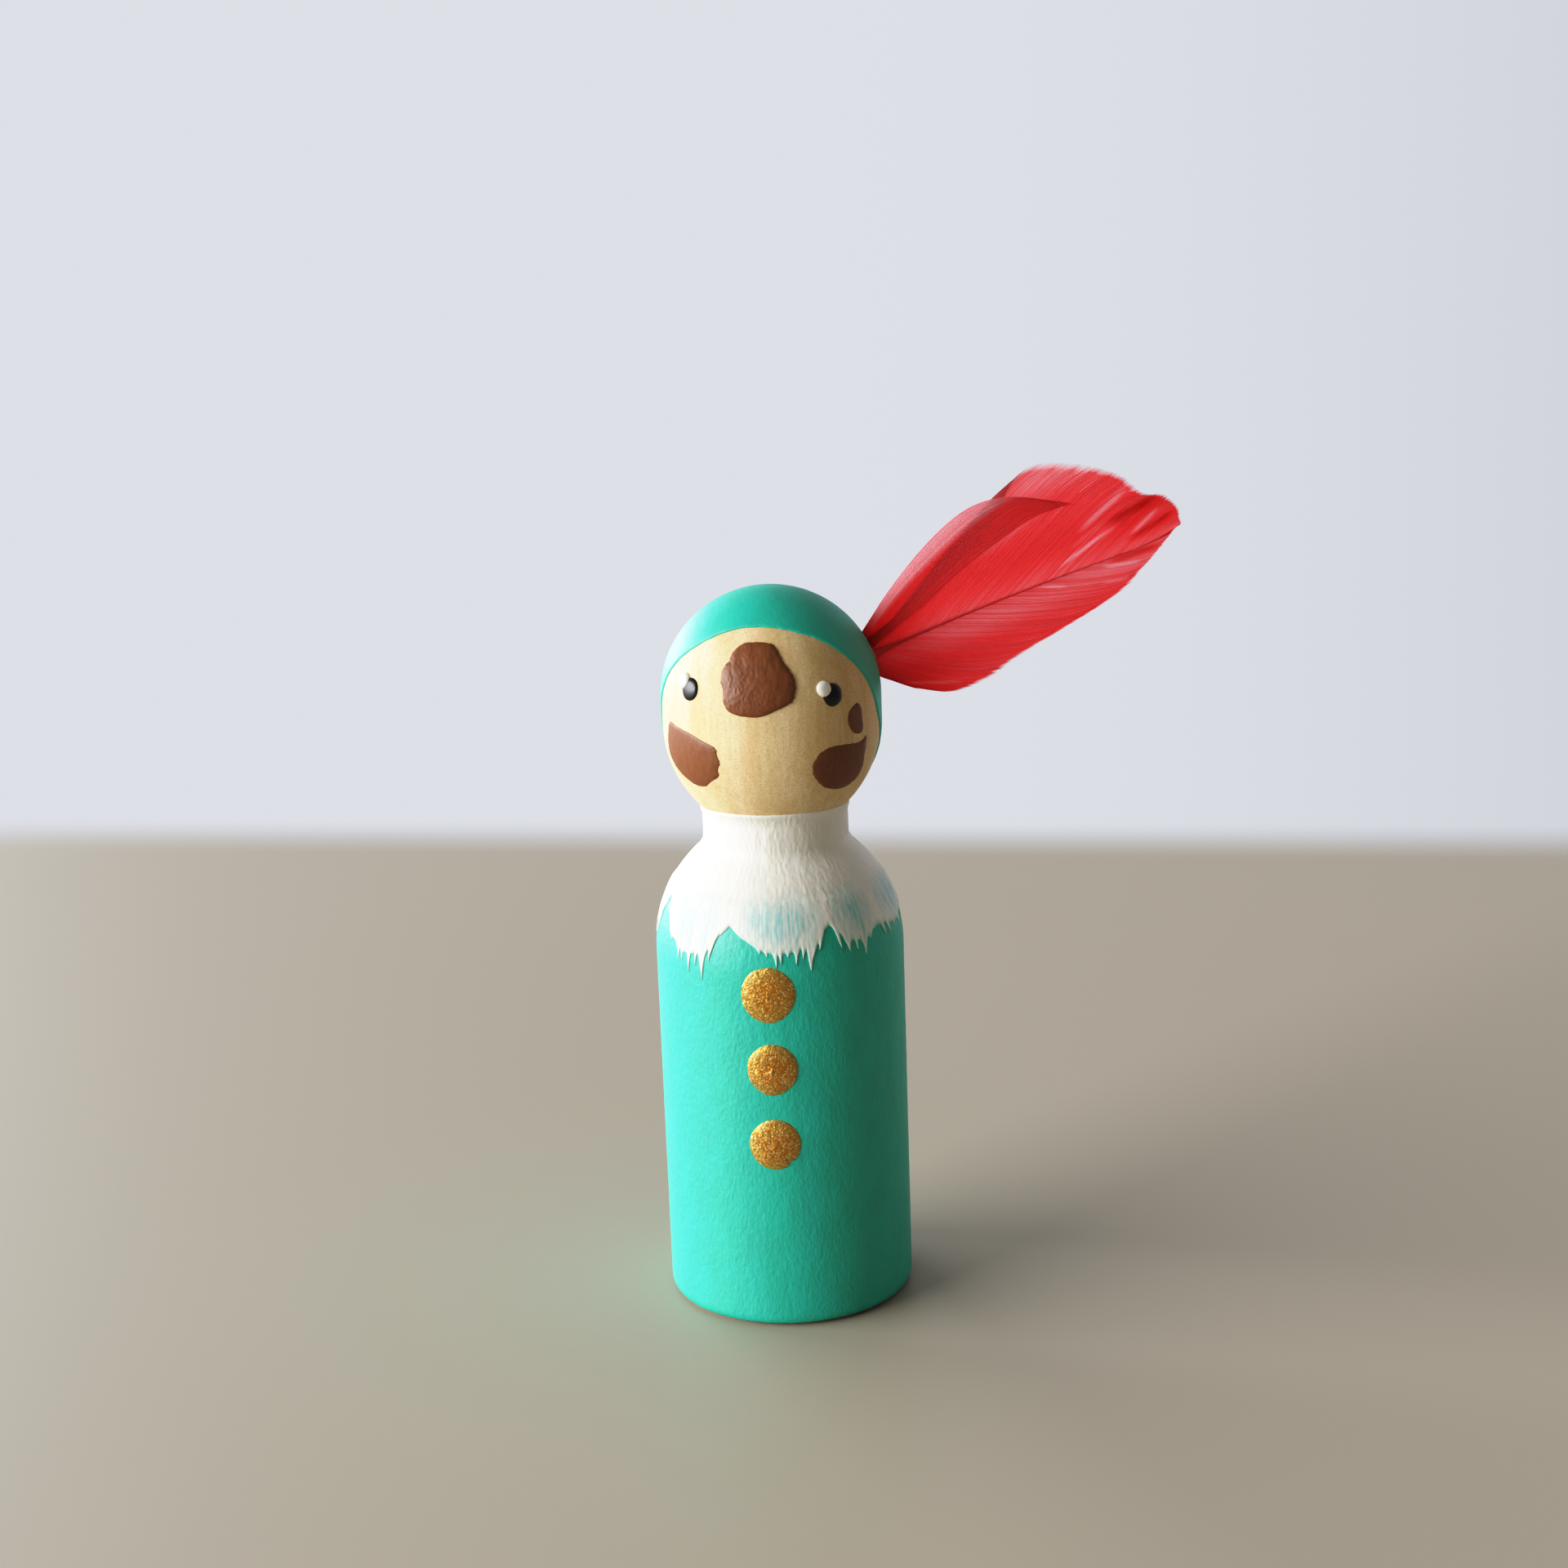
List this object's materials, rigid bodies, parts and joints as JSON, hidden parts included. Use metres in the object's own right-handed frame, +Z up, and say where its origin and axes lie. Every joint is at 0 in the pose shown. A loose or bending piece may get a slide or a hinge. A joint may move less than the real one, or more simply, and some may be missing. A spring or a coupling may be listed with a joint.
{
  "type": "painted wooden peg doll",
  "caption": "Turned wooden peg doll with a round head, painted teal and white over bare wood, with gold drops down the front and a red feather in the side of the head.",
  "frame": {"origin": "centre of the flat base, on the surface that the doll stands on", "axes": "+Z up along the turned axis, the face looks along -Y, and +X is to the right of someone who looks at the face"},
  "size_m": [0.0473, 0.0253, 0.0739],
  "materials": {
    "turned_wood": "bare, finely sanded birch",
    "teal_paint": "satin acrylic craft paint",
    "white_paint": "satin acrylic craft paint",
    "gold_paint": "gold metallic drops with coarse glitter",
    "black_paint": "glossy black drops",
    "brown_paint": "half-gloss acrylic craft paint",
    "dyed_quill": "dyed horn-like quill, satin",
    "dyed_feather": "dyed red feather barbs with a silky sheen",
    "clear_glue": "set clear craft glue"
  },
  "bodies": {
    "root": {"peg_blank": "turned_wood", "body_coat": "teal_paint", "cap_coat": "teal_paint", "collar_coat": "white_paint", "button_upper": "gold_paint", "button_middle": "gold_paint", "button_lower": "gold_paint", "left_eye": "black_paint", "right_eye": "black_paint", "left_eye_glint": "white_paint", "right_eye_glint": "white_paint", "brow_patch": "brown_paint", "left_cheek_patch": "brown_paint", "right_cheek_patch": "brown_paint", "small_cheek_patch": "brown_paint", "feather_quill": "dyed_quill", "feather_lower_vane": "dyed_feather", "feather_upper_vane": "dyed_feather", "feather_front_lobe": "dyed_feather", "glue_bead": "clear_glue"}
  },
  "joints": []
}
